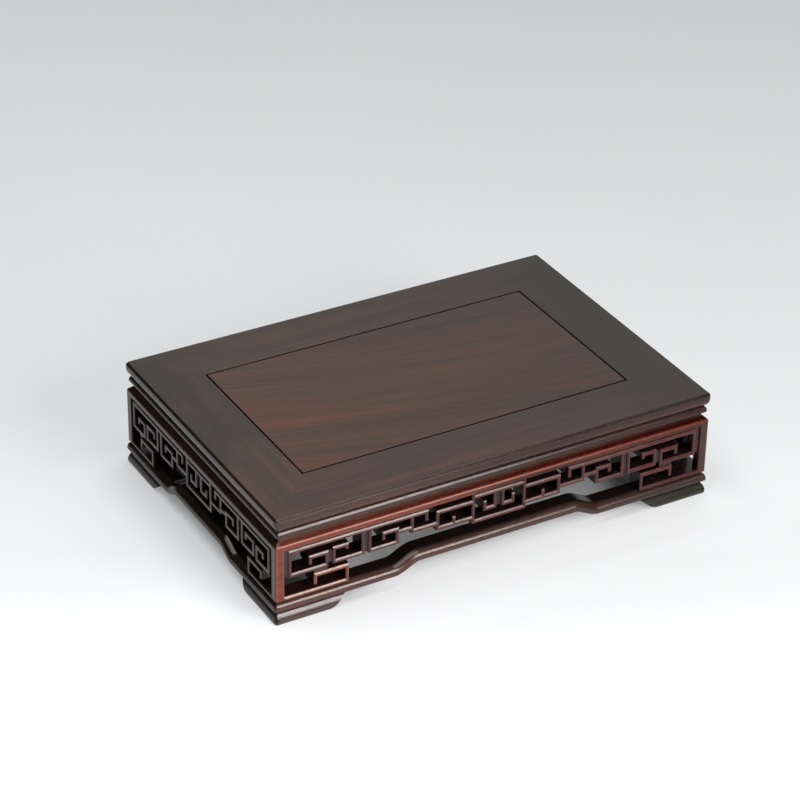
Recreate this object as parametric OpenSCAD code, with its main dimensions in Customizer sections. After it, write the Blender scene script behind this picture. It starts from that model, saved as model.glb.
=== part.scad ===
// Low rectangular display stand in dark hardwood.
// A mitred frame with a floating panel forms the top. Four pierced key-fret
// aprons stand under it and come down as bracket legs at the corners. They
// rest on a humpback base rail, which runs all round on four corner feet.
// Origin: centre of the footprint, on the floor. +X is the long way, -Y is
// the front, +Z is up.

/* [Overall] */
// Height from the floor to the display face
height = 48; // [47:0.5:52]
// Length of the top over its lip
top_l = 200; // [198:1:210]
// Width of the top over its lip
top_w = 135.6; // [134:0.2:142]

/* [Top frame] */
// Thickness of the frame at its edge
top_t = 10.5; // [10:0.25:11]
// Width of the two long rails
rail_long_w = 25.4; // [24:0.1:27]
// Width of the two short rails
rail_short_w = 24.8; // [24:0.1:27]
// Gap between the frame and the panel
seam = 0.5; // [0.3:0.1:0.8]
// Rounding of the lip's corners in plan
lip_r = 1.8; // [1:0.1:3]
// Height of the lip above the groove in the edge
lip_h = 5.4; // [5:0.1:5.8]
// How far the lip draws in towards that groove
lip_in = 1.2; // [0.8:0.1:1.6]
// How far the lower bead draws in towards the apron
bead_in = 1.35; // [0.8:0.05:1.6]

/* [Panel] */
// Thickness of the panel
panel_t = 7; // [6.5:0.25:7.5]
// Thickness of the tongue round the panel
tongue_t = 2.4; // [2:0.1:2.6]
// Reach of the tongue into the rails
tongue_l = 4; // [3:0.1:4.5]
// Width of the batten under the panel
batten_w = 16; // [12:0.5:20]

/* [Aprons] */
// Length over the apron faces
apron_l = 199.6; // [198.6:0.2:200]
// Width over the apron faces
apron_w = 134.4; // [133.6:0.2:135]
// Thickness of the apron boards
apron_t = 8; // [7.5:0.25:9]
// Width of the plain corner post, long side
post_long = 3.9; // [3.6:0.1:4.3]
// Width of the plain corner post, short side
post_short = 3.8; // [3.6:0.1:4.3]
// Depth of the rounded shoulder under the top
shoulder_in = 2.6; // [2:0.1:2.8]
// Height of the rounded shoulder
shoulder_h = 2.9; // [2.6:0.1:3.2]
// Width of an upright fret bar
bar_w = 1.45; // [1.3:0.05:1.7]
// Height of a level fret bar
bar_h = 1.7; // [1.5:0.05:1.8]
// Width of the carved line between close bars
quirk_w = 0.9; // [0.6:0.1:1.2]
// Depth of that carved line
quirk_d = 0.8; // [0.4:0.1:1.2]

/* [Base] */
// Thickness of the base rail
base_t = 4.2; // [4:0.1:4.4]
// Depth of the base rail from front to back
base_d = 9; // [8.5:0.25:10]
// How far the base rail stands proud of the apron
base_proud = 0.75; // [0.3:0.05:0.8]
// Rise of the base rail in the middle of each long side
hump_long = 4.15; // [2:0.05:4.5]
// Rise of the base rail in the middle of each short side
hump_short = 3.5; // [2:0.05:4.5]
// Depth of the rounded nose of the base rail
nose = 2.6; // [1.8:0.1:3]

/* [Feet] */
// Height of a foot
foot_h = 5.8; // [5.4:0.1:6.2]
// How far a foot stands proud of the apron
foot_proud = 0.8; // [0.3:0.05:0.8]
// Width of the two arms of a foot
foot_d = 10; // [9:0.25:12]
// Reach of a foot along each side, at its top
foot_top = 33; // [30:0.5:35]
// Reach of a foot along each side, on the floor
foot_low = 24.5; // [23:0.5:27.5]
// Rounding of the foot's outer face
foot_round = 2; // [1.2:0.1:2]

/* [Joinery] */
// Diameter of the bamboo pegs
peg_d = 2.2; // [1.8:0.1:2.4]
// Thickness of the loose splines
key_t = 1.4; // [1:0.1:1.6]
// Clearance of tongues, tenons, splines and pegs
fit = 0.04; // [0.02:0.01:0.08]

/* [Hidden] */
$fn = 48;

frame_z = height - top_t;             // underside of the frame, top of the aprons
base_z = foot_h + base_t;             // top of the base rail at the corners
field_z = frame_z - 4.2;              // lower edge of the apron's plain top border
panel_l = top_l - 2 * (rail_short_w + seam);
panel_w = top_w - 2 * (rail_long_w + seam);
panel_z = height - panel_t;
tongue_z = panel_z + 2;
base_l = apron_l + 2 * base_proud;
base_w = apron_w + 2 * base_proud;
foot_l = apron_l + 2 * foot_proud;
foot_w = apron_w + 2 * foot_proud;
post_c = (post_long + post_short) / 4 + 0.525; // centre of a corner peg, from either face of the post
eps = 0.01;
bar_drop = 0.3;                       // the bars hang this much below the corner points

wood_top = [0.22, 0.14, 0.12];
wood_panel = [0.27, 0.14, 0.11];
wood_fret = [0.33, 0.12, 0.09];
wood_base = [0.21, 0.13, 0.11];
wood_inner = [0.36, 0.22, 0.14];
bamboo = [0.78, 0.64, 0.40];

// ---- the moulded edge of the top: lip, groove, bead -------------------------
lip_z = height - lip_h;
bead_top = lip_z - 0.3;
bead_mid = frame_z + 2.2;
function lip_curve(n) = [for (k = [0:n]) let (u = k / n) [lip_in * pow(u, 2.2), height - 1.6 - u * (lip_h - 1.6)]];
function lip_round(n) = [for (k = [0:n]) let (a = 90 * k / n) [0.85 * (1 - sin(a)), height - 1.5 * (1 - cos(a))]];
function bead_round(n) = [for (k = [0:n]) let (u = 1 - k / n) [1 + 0.75 * u * u, bead_mid + u * (bead_top - bead_mid)]];
function bead_curve(n) = [for (k = [0:n]) let (u = k / n) [1 + bead_in * pow(u, 2), bead_mid - u * (bead_mid - frame_z)]];
function edge_profile(w) = concat([[w, height]], lip_round(5), lip_curve(7), bead_round(4), bead_curve(7), [[w, frame_z]]);

module along_x(l) rotate([90, 0, 90]) linear_extrude(l, center = true) children();
module along_y(l) rotate([90, 0, 0]) linear_extrude(l, center = true) children();

module round_rect(l, w, r) {
    square([l - 2 * r, w], center = true);
    square([l, w - 2 * r], center = true);
    for (x = [-1, 1], y = [-1, 1]) translate([x * (l / 2 - r), y * (w / 2 - r)]) circle(r);
}

// Plan of one mitred side of a frame, on the -Y side.
module mitre_plan(l, w, dx, dy)
    polygon([[-l / 2, -w / 2], [l / 2, -w / 2], [l / 2 - dx, dy - w / 2], [dx - l / 2, dy - w / 2]]);

// ---- pieces that sit in several others --------------------------------------
module peg(x, y, z0, z1, g) translate([x, y, z0 - g]) cylinder(d = peg_d + 2 * g, h = z1 - z0 + 2 * g);

module top_peg_set(g) {
    for (s = [-1, 1]) {
        for (x = [-60, 0, 60]) peg(x, s * (apron_w / 2 - apron_t / 2 - 0.2), frame_z - 5, frame_z + 5, g);
        for (y = [-30, 30]) peg(s * (apron_l / 2 - apron_t / 2 - 0.2), y, frame_z - 5, frame_z + 5, g);
    }
}

module corner_peg_set(g)
    for (x = [-1, 1], y = [-1, 1]) peg(x * (apron_l / 2 - post_c), y * (apron_w / 2 - post_c), 3, base_z + 6, g);

module foot_peg_set(g)
    for (x = [-1, 1], y = [-1, 1]) {
        peg(x * (foot_l / 2 - 20), y * (base_w / 2 - 5), 2.5, base_z - 1.5, g);
        peg(x * (base_l / 2 - 5), y * (foot_w / 2 - 20), 2.5, base_z - 1.5, g);
    }

module apron_key_set(g)
    for (x = [-1, 1], y = [-1, 1])
        translate([x * (apron_l / 2 - 4.3), y * (apron_w / 2 - 4.3), base_z + 11.5 - g])
            rotate([0, 0, x * y * 45])
                translate([-key_t / 2 - g, -2.2 - g, 0]) cube([key_t + 2 * g, 4.4 + 2 * g, 13 + 2 * g]);

module base_key_set(g)
    for (x = [-1, 1], y = [-1, 1])
        translate([x * (base_l / 2 - 5.8), y * (base_w / 2 - 5.8), foot_h + base_t / 2 - key_t / 2 - g])
            rotate([0, 0, x * y * 45])
                translate([-1.6 - g, -3 - g, 0]) cube([3.2 + 2 * g, 6 + 2 * g, key_t + 2 * g]);

module rail_tenons(g)
    for (x = [-1, 1], y = [-1, 1])
        translate([x * (top_l / 2 - 17), y * (top_w / 2 - 19.6), frame_z + 2.6])
            cube([18 + 2 * g, 8 + 2 * g, 2.8 + 2 * g], center = true);

module batten_shape(g) {
    along_y(panel_w + 2 * seam)
        polygon([[-batten_w / 2, frame_z], [batten_w / 2, frame_z], [batten_w / 2, panel_z], [batten_w / 2 - 2 + g, panel_z],
                 [batten_w / 2 - 1.2 + g, panel_z + 1.5 + g], [1.2 - batten_w / 2 - g, panel_z + 1.5 + g],
                 [2 - batten_w / 2 - g, panel_z], [-batten_w / 2, panel_z]]);
    translate([0, 0, frame_z + 2]) cube([batten_w - 6 + 2 * g, panel_w + 2 * seam + 12 + 2 * g, 2.2 + 2 * g], center = true);
}

module panel_shape(g) {
    translate([-panel_l / 2, -panel_w / 2, panel_z]) cube([panel_l, panel_w, panel_t]);
    translate([-panel_l / 2 - seam - tongue_l - g, -panel_w / 2 - seam - tongue_l - g, tongue_z - g])
        cube([panel_l + 2 * (seam + tongue_l + g), panel_w + 2 * (seam + tongue_l + g), tongue_t + 2 * g]);
}

// ---- top ---------------------------------------------------------------------
module long_rail()
    difference() {
        union() {
            intersection() {
                translate([0, -top_w / 2, 0]) along_x(top_l) polygon(edge_profile(rail_long_w));
                translate([0, 0, frame_z - 1]) linear_extrude(top_t + 2) intersection() {
                    mitre_plan(top_l, top_w, rail_short_w, rail_long_w);
                    round_rect(top_l, top_w, lip_r);
                }
            }
            intersection() {
                rail_tenons(0);
                translate([-top_l / 2, -top_w / 2, 0]) cube([top_l, top_w / 2, height]);
            }
        }
        panel_shape(fit);
        batten_shape(fit);
        top_peg_set(fit);
    }

module short_rail()
    difference() {
        intersection() {
            rotate([0, 0, -90]) translate([0, -top_l / 2, 0]) along_x(top_w) polygon(edge_profile(rail_short_w));
            translate([0, 0, frame_z - 1]) linear_extrude(top_t + 2) intersection() {
                rotate([0, 0, -90]) mitre_plan(top_w, top_l, rail_long_w, rail_short_w);
                round_rect(top_l, top_w, lip_r);
            }
        }
        panel_shape(fit);
        rail_tenons(fit);
        top_peg_set(fit);
    }

module top_rail_front() color(wood_top) long_rail();
module top_rail_back() color(wood_top) rotate([0, 0, 180]) long_rail();
module top_rail_left() color(wood_top) short_rail();
module top_rail_right() color(wood_top) rotate([0, 0, 180]) short_rail();

module top_panel() color(wood_panel) difference() { panel_shape(0); batten_shape(fit); }
module panel_batten() color(wood_inner) batten_shape(0);

// ---- key fret ------------------------------------------------------------------
// Each stroke is a square-cornered line of bar, given by its corner points:
// distance from the end of the board, then height. Every stroke is repeated
// mirrored about the middle of the board.
function long_fret() = [
    [[66.8, 28.4], [66.8, 31.8], [6.4, 31.8], [6.4, 21.1], [22.5, 21.1], [22.5, 26.8], [15.3, 26.8], [15.3, 24.4]],
    [[38.4, 31.8], [38.4, 21.6], [25.6, 21.6], [25.6, 27.7], [31.3, 27.7], [31.3, 26.5]],
    [[4.2, 10.95], [31.5, 10.95], [31.5, 17.9], [17.5, 17.9], [17.5, 14.4]],
    [[41.4, 31.8], [41.4, 21.6], [53.6, 21.6], [53.6, 27.6], [47.6, 27.6], [47.6, 25.4]],
    [[53.6, 26.3], [60.3, 26.3]],
    [[60.3, 31.8], [60.3, 24.7], [71.8, 24.7]],
    [[88, 29.7], [71.8, 29.7], [71.8, 22.3], [88, 22.3]],
    [[79.2, 22.3], [79.2, 24.8]],
    [[88, 33.5], [88, 20.3], [100, 20.3]],
    [[100, 31.8], [88, 31.8]],
    [[98, 31.8], [98, 24.8], [93.3, 24.8], [93.3, 27.7]]];
// Solid webs under the carved lines: [from, low, to, high].
function long_webs() = [[3.4, 20.4, 6.4, 34], [6, 32, 67.6, 34], [22.5, 21.1, 25.6, 27.4], [38.4, 21, 41.4, 32.6],
    [17, 17.9, 22.8, 21.1], [87.2, 32, 100, 34], [97, 24.2, 100, 31.8]];
function short_fret() = [
    [[52.3, 28.8], [52.3, 31.7], [6.4, 31.7], [6.4, 21], [16.6, 21], [16.6, 26.8], [11.3, 26.8], [11.3, 25]],
    [[29, 31.7], [29, 21.5], [19.4, 21.5], [19.4, 27.5], [25.8, 27.5], [25.8, 25.6]],
    [[4.1, 10.95], [23.7, 10.95], [23.7, 17.4], [13.1, 17.4], [13.1, 14.8]],
    [[32.5, 31.7], [32.5, 21.1], [42.7, 21.1], [42.7, 27.4], [36.8, 27.4], [36.8, 25.4]],
    [[42.7, 26.1], [47.6, 26.1]],
    [[47.6, 31.7], [47.6, 24.6], [56.6, 24.6]],
    [[56.6, 33.5], [56.6, 20.2], [67.2, 20.2]],
    [[67.2, 31.7], [56.6, 31.7]],
    [[65, 31.7], [65, 24.6], [60.4, 24.6], [60.4, 26.8]]];
function short_webs() = [[3.4, 20.3, 6.4, 34], [6, 32, 53.1, 34], [16.6, 21, 19.4, 27.4], [29, 21, 32.5, 32.4],
    [12.4, 17.4, 17.2, 21], [55.8, 32, 67.2, 34], [64.2, 23.9, 67.2, 31.7]];

// Carved lines between close bars: [from, low, to, high] of each line's middle.
function long_quirks() = [[4.8, 12, 4.8, 32.8], [4.8, 32.8, 67.6, 32.8], [24.05, 21, 24.05, 27.4], [39.9, 20.9, 39.9, 32.8],
    [87.2, 32.8, 100, 32.8], [100, 24.2, 100, 31]];
function short_quirks() = [[4.75, 12, 4.75, 32.75], [4.75, 32.75, 53.1, 32.75], [18, 21, 18, 27.4], [30.75, 20.8, 30.75, 32.6],
    [55.8, 32.75, 67.2, 32.75], [67.2, 24, 67.2, 31]];

module stroke(p)
    for (i = [0:len(p) - 2])
        translate([min(p[i][0], p[i + 1][0]) - bar_w / 2, min(p[i][1], p[i + 1][1]) - bar_drop - bar_h / 2])
            square([abs(p[i][0] - p[i + 1][0]) + bar_w, abs(p[i][1] - p[i + 1][1]) + bar_h]);

module fret_half(strokes, webs, post, l) {
    square([post, frame_z]);
    translate([0, field_z]) square([l / 2 + eps, frame_z - field_z]);
    for (s = strokes) stroke(s);
    for (w = webs) translate([w[0], w[1]]) square([w[2] - w[0], w[3] - w[1]]);
}

module fret_plan(strokes, webs, post, l)
    intersection() {
        union() {
            translate([-l / 2, 0]) fret_half(strokes, webs, post, l);
            mirror([1, 0]) translate([-l / 2, 0]) fret_half(strokes, webs, post, l);
        }
        translate([-l / 2, base_z]) square([l, frame_z - base_z]);
    }

// Triangular gouge along a carved line, open on the face at y = 0.
module quirk_cut(q)
    if (q[0] == q[2]) translate([q[0], 0, q[1]]) linear_extrude(q[3] - q[1])
        polygon([[-quirk_w / 2, -eps], [quirk_w / 2, -eps], [0, quirk_d]]);
    else translate([q[0], 0, q[1]]) rotate([90, 0, 90]) linear_extrude(q[2] - q[0])
        polygon([[-eps, -quirk_w / 2], [-eps, quirk_w / 2], [quirk_d, 0]]);

function shoulder(n) = [for (k = [1:n]) let (u = k / n) [shoulder_in * pow(u, 1.2), frame_z - shoulder_h * (1 - u)]];

// One apron board on the -Y side of a box l long and w wide.
module apron_board(strokes, webs, quirks, post, l, w)
    translate([0, -w / 2, 0]) difference() {
        intersection() {
            translate([0, apron_t, 0]) rotate([90, 0, 0]) linear_extrude(apron_t) fret_plan(strokes, webs, post, l);
            along_x(l) polygon(concat([[apron_t, base_z], [0, base_z], [0, frame_z - shoulder_h]], shoulder(8), [[apron_t, frame_z]]));
            translate([0, w / 2, 0]) linear_extrude(height) mitre_plan(l, w, apron_t, apron_t);
        }
        for (q = quirks, m = [0, 1]) mirror([m, 0, 0]) translate([-l / 2, 0, 0]) quirk_cut(q);
    }

module apron_holes() {
    top_peg_set(fit);
    corner_peg_set(fit);
    apron_key_set(fit);
}

module long_apron(turn) difference() {
    rotate([0, 0, turn]) apron_board(long_fret(), long_webs(), long_quirks(), post_long, apron_l, apron_w);
    apron_holes();
}
module short_apron(turn) difference() {
    rotate([0, 0, turn]) apron_board(short_fret(), short_webs(), short_quirks(), post_short, apron_w, apron_l);
    apron_holes();
}

module apron_front() color(wood_fret) long_apron(0);
module apron_back() color(wood_fret) long_apron(180);
module apron_left() color(wood_fret) short_apron(-90);
module apron_right() color(wood_fret) short_apron(90);

module apron_corner_keys() color(wood_inner) apron_key_set(0);
module apron_top_pegs() color(bamboo) top_peg_set(0);

// ---- base rail -------------------------------------------------------------------
// The middle line of the rail, seen from the side: level, an S-bend up to the
// hump, level again, and the same mirrored. from and to bound the S-bend,
// measured from the corner.
function bend(u) = u * u * (3 - 2 * u);
function bend_slope(u) = 6 * u * (1 - u);
function rise(l) = l == base_l ? hump_long : hump_short;
function rail_side(l, from, to, d) = [for (k = [0:14]) let (u = k / 14, a = from + u * (to - from), m = rise(l) * bend_slope(u) / (to - from), n = sqrt(1 + m * m))
    [a - l / 2 - d * m / n, foot_h + base_t / 2 + rise(l) * bend(u) + d / n]];
function flip(p) = [for (i = [len(p) - 1:-1:0]) [-p[i][0], p[i][1]]];
function rail_edge(l, from, to, d) = concat([[-l / 2, foot_h + base_t / 2 + d]], rail_side(l, from, to, d),
    flip(rail_side(l, from, to, d)), [[l / 2, foot_h + base_t / 2 + d]]);
function back_to_front(p) = [for (i = [len(p) - 1:-1:0]) p[i]];
function rail_outline(l, from, to, low, high) = concat(rail_edge(l, from, to, high), back_to_front(rail_edge(l, from, to, low)));

steps = 4;
function nose_y(k) = nose * (1 - cos(90 * k / steps));
function nose_z(k) = 0.6 - base_t / 2 + (base_t - 0.6) * sin(90 * (k + 0.6) / (steps + 0.6));

module base_bar(l, w, from, to)
    intersection() {
        translate([0, -w / 2, 0]) union() {
            for (k = [0:steps - 1])
                translate([0, nose_y(k + 1) + 0.3, 0]) rotate([90, 0, 0])
                    linear_extrude(nose_y(k + 1) - nose_y(k) + 0.3) polygon(rail_outline(l, from, to, (k == 0 ? 0.3 : 0) - base_t / 2, nose_z(k)));
            translate([0, base_d, 0]) rotate([90, 0, 0]) linear_extrude(base_d - nose) polygon(rail_outline(l, from, to, -base_t / 2, base_t / 2));
        }
        linear_extrude(height) mitre_plan(l, w, base_d, base_d);
    }

module base_holes() {
    corner_peg_set(fit);
    foot_peg_set(fit);
    base_key_set(fit);
}

module long_base(turn) difference() {
    rotate([0, 0, turn]) base_bar(base_l, base_w, 52.9, 64.6);
    base_holes();
}
module short_base(turn) difference() {
    rotate([0, 0, turn]) base_bar(base_w, base_l, 38.2, 48.3);
    base_holes();
}

module base_rail_front() color(wood_base) long_base(0);
module base_rail_back() color(wood_base) long_base(180);
module base_rail_left() color(wood_base) short_base(-90);
module base_rail_right() color(wood_base) short_base(90);

module base_corner_keys() color(wood_inner) base_key_set(0);
module corner_pegs() color(bamboo) corner_peg_set(0);

// ---- feet --------------------------------------------------------------------------
function foot_face(n) = [for (k = [0:n]) let (u = k / n) [foot_round * pow(u, 1.7), u * foot_h]];

// The arm of a foot along X, its corner at the origin, running to -X and +Y.
module foot_arm()
    difference() {
        intersection() {
            translate([-foot_top / 2, 0, 0]) along_x(foot_top) polygon(concat(foot_face(10), [[foot_d, foot_h], [foot_d, 0]]));
            linear_extrude(foot_h) polygon([[0, 0], [-foot_d, foot_d], [-foot_top, foot_d], [-foot_top, 0]]);
        }
        translate([0, foot_d / 2, 0]) along_y(foot_d + 2)
            polygon([[-foot_low, -eps], [-foot_top, foot_h], [-foot_top - 1, foot_h + eps], [-foot_top - 1, -eps]]);
    }

module foot(x, y) difference() {
    translate([x * foot_l / 2, y * foot_w / 2, 0]) union() {
        mirror([x < 0 ? 1 : 0, 0, 0]) mirror([0, y > 0 ? 1 : 0, 0]) foot_arm();
        mirror([x < 0 ? 1 : 0, 0, 0]) mirror([0, y > 0 ? 1 : 0, 0]) mirror([1, 1, 0]) foot_arm();
    }
    corner_peg_set(fit);
    foot_peg_set(fit);
}

module foot_front_left() color(wood_base) foot(-1, -1);
module foot_front_right() color(wood_base) foot(1, -1);
module foot_back_left() color(wood_base) foot(-1, 1);
module foot_back_right() color(wood_base) foot(1, 1);
module foot_pegs() color(bamboo) foot_peg_set(0);

// ---- drawing -------------------------------------------------------------------------
top_panel();
top_rail_front();
top_rail_back();
top_rail_left();
top_rail_right();
panel_batten();
apron_front();
apron_back();
apron_left();
apron_right();
apron_corner_keys();
apron_top_pegs();
base_rail_front();
base_rail_back();
base_rail_left();
base_rail_right();
base_corner_keys();
corner_pegs();
foot_front_left();
foot_front_right();
foot_back_left();
foot_back_right();
foot_pegs();
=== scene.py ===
import math

import bmesh
import bpy
from mathutils import Matrix, Vector


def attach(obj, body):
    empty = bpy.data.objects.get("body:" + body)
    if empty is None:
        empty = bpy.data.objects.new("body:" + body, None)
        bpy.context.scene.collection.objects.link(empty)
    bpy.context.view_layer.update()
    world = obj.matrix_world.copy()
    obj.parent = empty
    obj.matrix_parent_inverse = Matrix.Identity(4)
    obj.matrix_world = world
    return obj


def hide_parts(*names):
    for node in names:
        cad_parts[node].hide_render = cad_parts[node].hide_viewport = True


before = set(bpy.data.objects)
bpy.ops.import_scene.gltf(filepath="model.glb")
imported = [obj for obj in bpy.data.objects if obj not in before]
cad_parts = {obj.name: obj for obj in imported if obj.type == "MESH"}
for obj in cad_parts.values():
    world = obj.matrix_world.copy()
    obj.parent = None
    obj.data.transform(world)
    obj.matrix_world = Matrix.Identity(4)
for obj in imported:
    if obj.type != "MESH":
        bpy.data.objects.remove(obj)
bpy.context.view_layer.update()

# All shapes below are worked out in millimetres, in the row's frame: +X is the
# long way, -Y the front, +Z up, origin on the floor under the middle.
MM = 0.001
HEIGHT = 48.0
TOP_A, TOP_B = 100.0, 67.8            # half sizes over the lip
RAIL_LONG, RAIL_SHORT, SEAM = 25.4, 24.8, 0.5
FRAME_Z = 37.5                        # underside of the frame
AP_A, AP_B, AP_T = 99.8, 67.2, 8.0    # half sizes over the aprons, board thickness
FOOT_H, BASE_T, BASE_D = 5.8, 4.2, 9.0
HUMP_LONG, HUMP_SHORT = 4.15, 3.5
BASE_Z = FOOT_H + BASE_T
BA_A, BA_B = AP_A + 0.75, AP_B + 0.75
FO_A, FO_B = AP_A + 0.8, AP_B + 0.8
FIELD_Z = 33.0                        # lower edge of the apron's plain top border
PEG_R, FIT = 1.1, 0.04

TURN = {"front": 0, "right": 1, "back": 2, "left": 3}


def turned(p, k):
    x, y, z = p
    return ((x, y, z), (-y, x, z), (-x, -y, z), (y, -x, z))[k]


# ---------------------------------------------------------------- mesh tools
def link(name, me):
    ob = bpy.data.objects.new(name, me)
    bpy.context.scene.collection.objects.link(ob)
    return ob


def from_bm(name, bm):
    bmesh.ops.recalc_face_normals(bm, faces=bm.faces[:])
    me = bpy.data.meshes.new(name)
    bm.to_mesh(me)
    bm.free()
    return link(name, me)


def loft(name, rings):
    """A closed solid through rings of points, with flat ends."""
    bm = bmesh.new()
    rows = [[bm.verts.new(p) for p in ring] for ring in rings]
    n = len(rows[0])
    for r0, r1 in zip(rows, rows[1:]):
        for i in range(n):
            bm.faces.new((r0[i], r0[(i + 1) % n], r1[(i + 1) % n], r1[i]))
    bm.faces.new(rows[0][::-1])
    bm.faces.new(rows[-1])
    return from_bm(name, bm)


def ease(ob, width, segments=2, angle=50.0):
    """Rounds every arris sharper than angle."""
    bm = bmesh.new()
    bm.from_mesh(ob.data)
    edges = [e for e in bm.edges if len(e.link_faces) == 2 and e.calc_face_angle() > math.radians(angle)]
    bmesh.ops.bevel(bm, geom=edges, offset=width, offset_type="OFFSET", segments=segments, profile=0.5,
                    affect="EDGES", clamp_overlap=True)
    bm.to_mesh(ob.data)
    bm.free()


def box_obj(name, lo, hi):
    (x0, y0, z0), (x1, y1, z1) = lo, hi
    return loft(name, [[(x0, y0, z), (x1, y0, z), (x1, y1, z), (x0, y1, z)] for z in (z0, z1)])


def prism(name, plan, z0, z1):
    return loft(name, [[(x, y, z) for x, y in plan] for z in (z0, z1)])


def peg_obj(name, x, y, z0, z1, r):
    plan = [(x + r * math.cos(math.tau * k / 24), y + r * math.sin(math.tau * k / 24)) for k in range(24)]
    return prism(name, plan, z0, z1)


def joined(name, obs):
    bm = bmesh.new()
    for o in obs:
        bm.from_mesh(o.data)
        drop(o)
    return from_bm(name, bm)


def drop(ob):
    me = ob.data
    bpy.data.objects.remove(ob)
    bpy.data.meshes.remove(me)


def boolean(ob, tool, op):
    mod = ob.modifiers.new("cut", "BOOLEAN")
    mod.operation, mod.solver, mod.object = op, "EXACT", tool
    mod.use_self = False
    dg = bpy.context.evaluated_depsgraph_get()
    me = bpy.data.meshes.new_from_object(ob.evaluated_get(dg))
    ob.modifiers.remove(mod)
    old = ob.data
    name = old.name
    ob.data = me
    bpy.data.meshes.remove(old)
    me.name = name
    drop(tool)


def tidy(ob):
    bm = bmesh.new()
    bm.from_mesh(ob.data)
    bmesh.ops.remove_doubles(bm, verts=bm.verts[:], dist=0.0008)
    bmesh.ops.dissolve_degenerate(bm, edges=bm.edges[:], dist=0.0005)
    bmesh.ops.recalc_face_normals(bm, faces=bm.faces[:])
    bm.to_mesh(ob.data)
    bm.free()


def mark_arrises(ob, spread=2):
    """Stores how far each point stands out on an edge, 0 in the flat and in hollows, 1 on a sharp arris."""
    me = ob.data
    bm = bmesh.new()
    bm.from_mesh(me)
    bm.verts.ensure_lookup_table()
    val = []
    for v in bm.verts:
        s = 0.0
        for e in v.link_edges:
            if len(e.link_faces) == 2:
                s = max(s, e.calc_face_angle_signed(0.0))
        val.append(min(1.0, max(0.0, s / math.radians(32))))
    bm.free()
    at = me.attributes.new("arris", "FLOAT", "POINT")
    at.data.foreach_set("value", val)


PIECES = []


def finish_piece(ob, node, material, smooth=40.0):
    me = ob.data
    tidy(ob)
    mark_arrises(ob)
    me = ob.data
    me.transform(Matrix.Scale(MM, 4))
    me.shade_smooth()
    me.set_sharp_from_angle(angle=math.radians(smooth))
    me.materials.clear()
    me.materials.append(material)
    wn = ob.modifiers.new("weighted", "WEIGHTED_NORMAL")
    wn.keep_sharp = True
    wn.weight = 60
    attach(ob, "root")
    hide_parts(node)
    PIECES.append(ob)


# ---------------------------------------------------------------- materials
def nodes_of(mat):
    mat.use_nodes = True
    nt = mat.node_tree
    nt.nodes.clear()
    return nt


class Net:
    """Short hand for building a node tree."""

    def __init__(self, nt):
        self.nt = nt

    def add(self, kind, **props):
        n = self.nt.nodes.new(kind)
        for k, v in props.items():
            setattr(n, k, v)
        return n

    def put(self, socket, value):
        if isinstance(value, bpy.types.NodeSocket):
            self.nt.links.new(value, socket)
        else:
            socket.default_value = value

    def math(self, op, a, b=None, c=None, clamp=False):
        n = self.add("ShaderNodeMath", operation=op, use_clamp=clamp)
        for i, v in enumerate((a, b, c)):
            if v is not None:
                self.put(n.inputs[i], v)
        return n.outputs[0]

    def vmath(self, op, a, b=None):
        n = self.add("ShaderNodeVectorMath", operation=op)
        self.put(n.inputs[0], a)
        if b is not None:
            self.put(n.inputs[1], b)
        return n.outputs[0]

    def noise(self, vec, scale, detail=2.0, rough=0.5, dist=0.0):
        n = self.add("ShaderNodeTexNoise", noise_dimensions="3D")
        self.put(n.inputs["Vector"], vec)
        n.inputs["Scale"].default_value = scale
        n.inputs["Detail"].default_value = detail
        n.inputs["Roughness"].default_value = rough
        n.inputs["Distortion"].default_value = dist
        return n.outputs["Fac"]

    def span(self, v, a0, a1, b0=0.0, b1=1.0, smooth=False):
        n = self.add("ShaderNodeMapRange", interpolation_type="SMOOTHSTEP" if smooth else "LINEAR", clamp=True)
        self.put(n.inputs["Value"], v)
        for name, x in (("From Min", a0), ("From Max", a1), ("To Min", b0), ("To Max", b1)):
            n.inputs[name].default_value = x
        return n.outputs["Result"]

    def ramp(self, fac, stops):
        n = self.add("ShaderNodeValToRGB")
        cr = n.color_ramp
        while len(cr.elements) > 1:
            cr.elements.remove(cr.elements[-1])
        cr.elements[0].position, cr.elements[0].color = stops[0][0], (*stops[0][1], 1)
        for p, c in stops[1:]:
            cr.elements.new(p).color = (*c, 1)
        self.put(n.inputs[0], fac)
        return n.outputs[0]

    def mix(self, fac, a, b, blend="MIX"):
        n = self.add("ShaderNodeMix", data_type="RGBA", blend_type=blend)
        self.put(n.inputs[0], fac)
        for s, v in ((n.inputs[6], a), (n.inputs[7], b)):
            self.put(s, v if isinstance(v, bpy.types.NodeSocket) else (*v, 1))
        return n.outputs[2]


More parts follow.
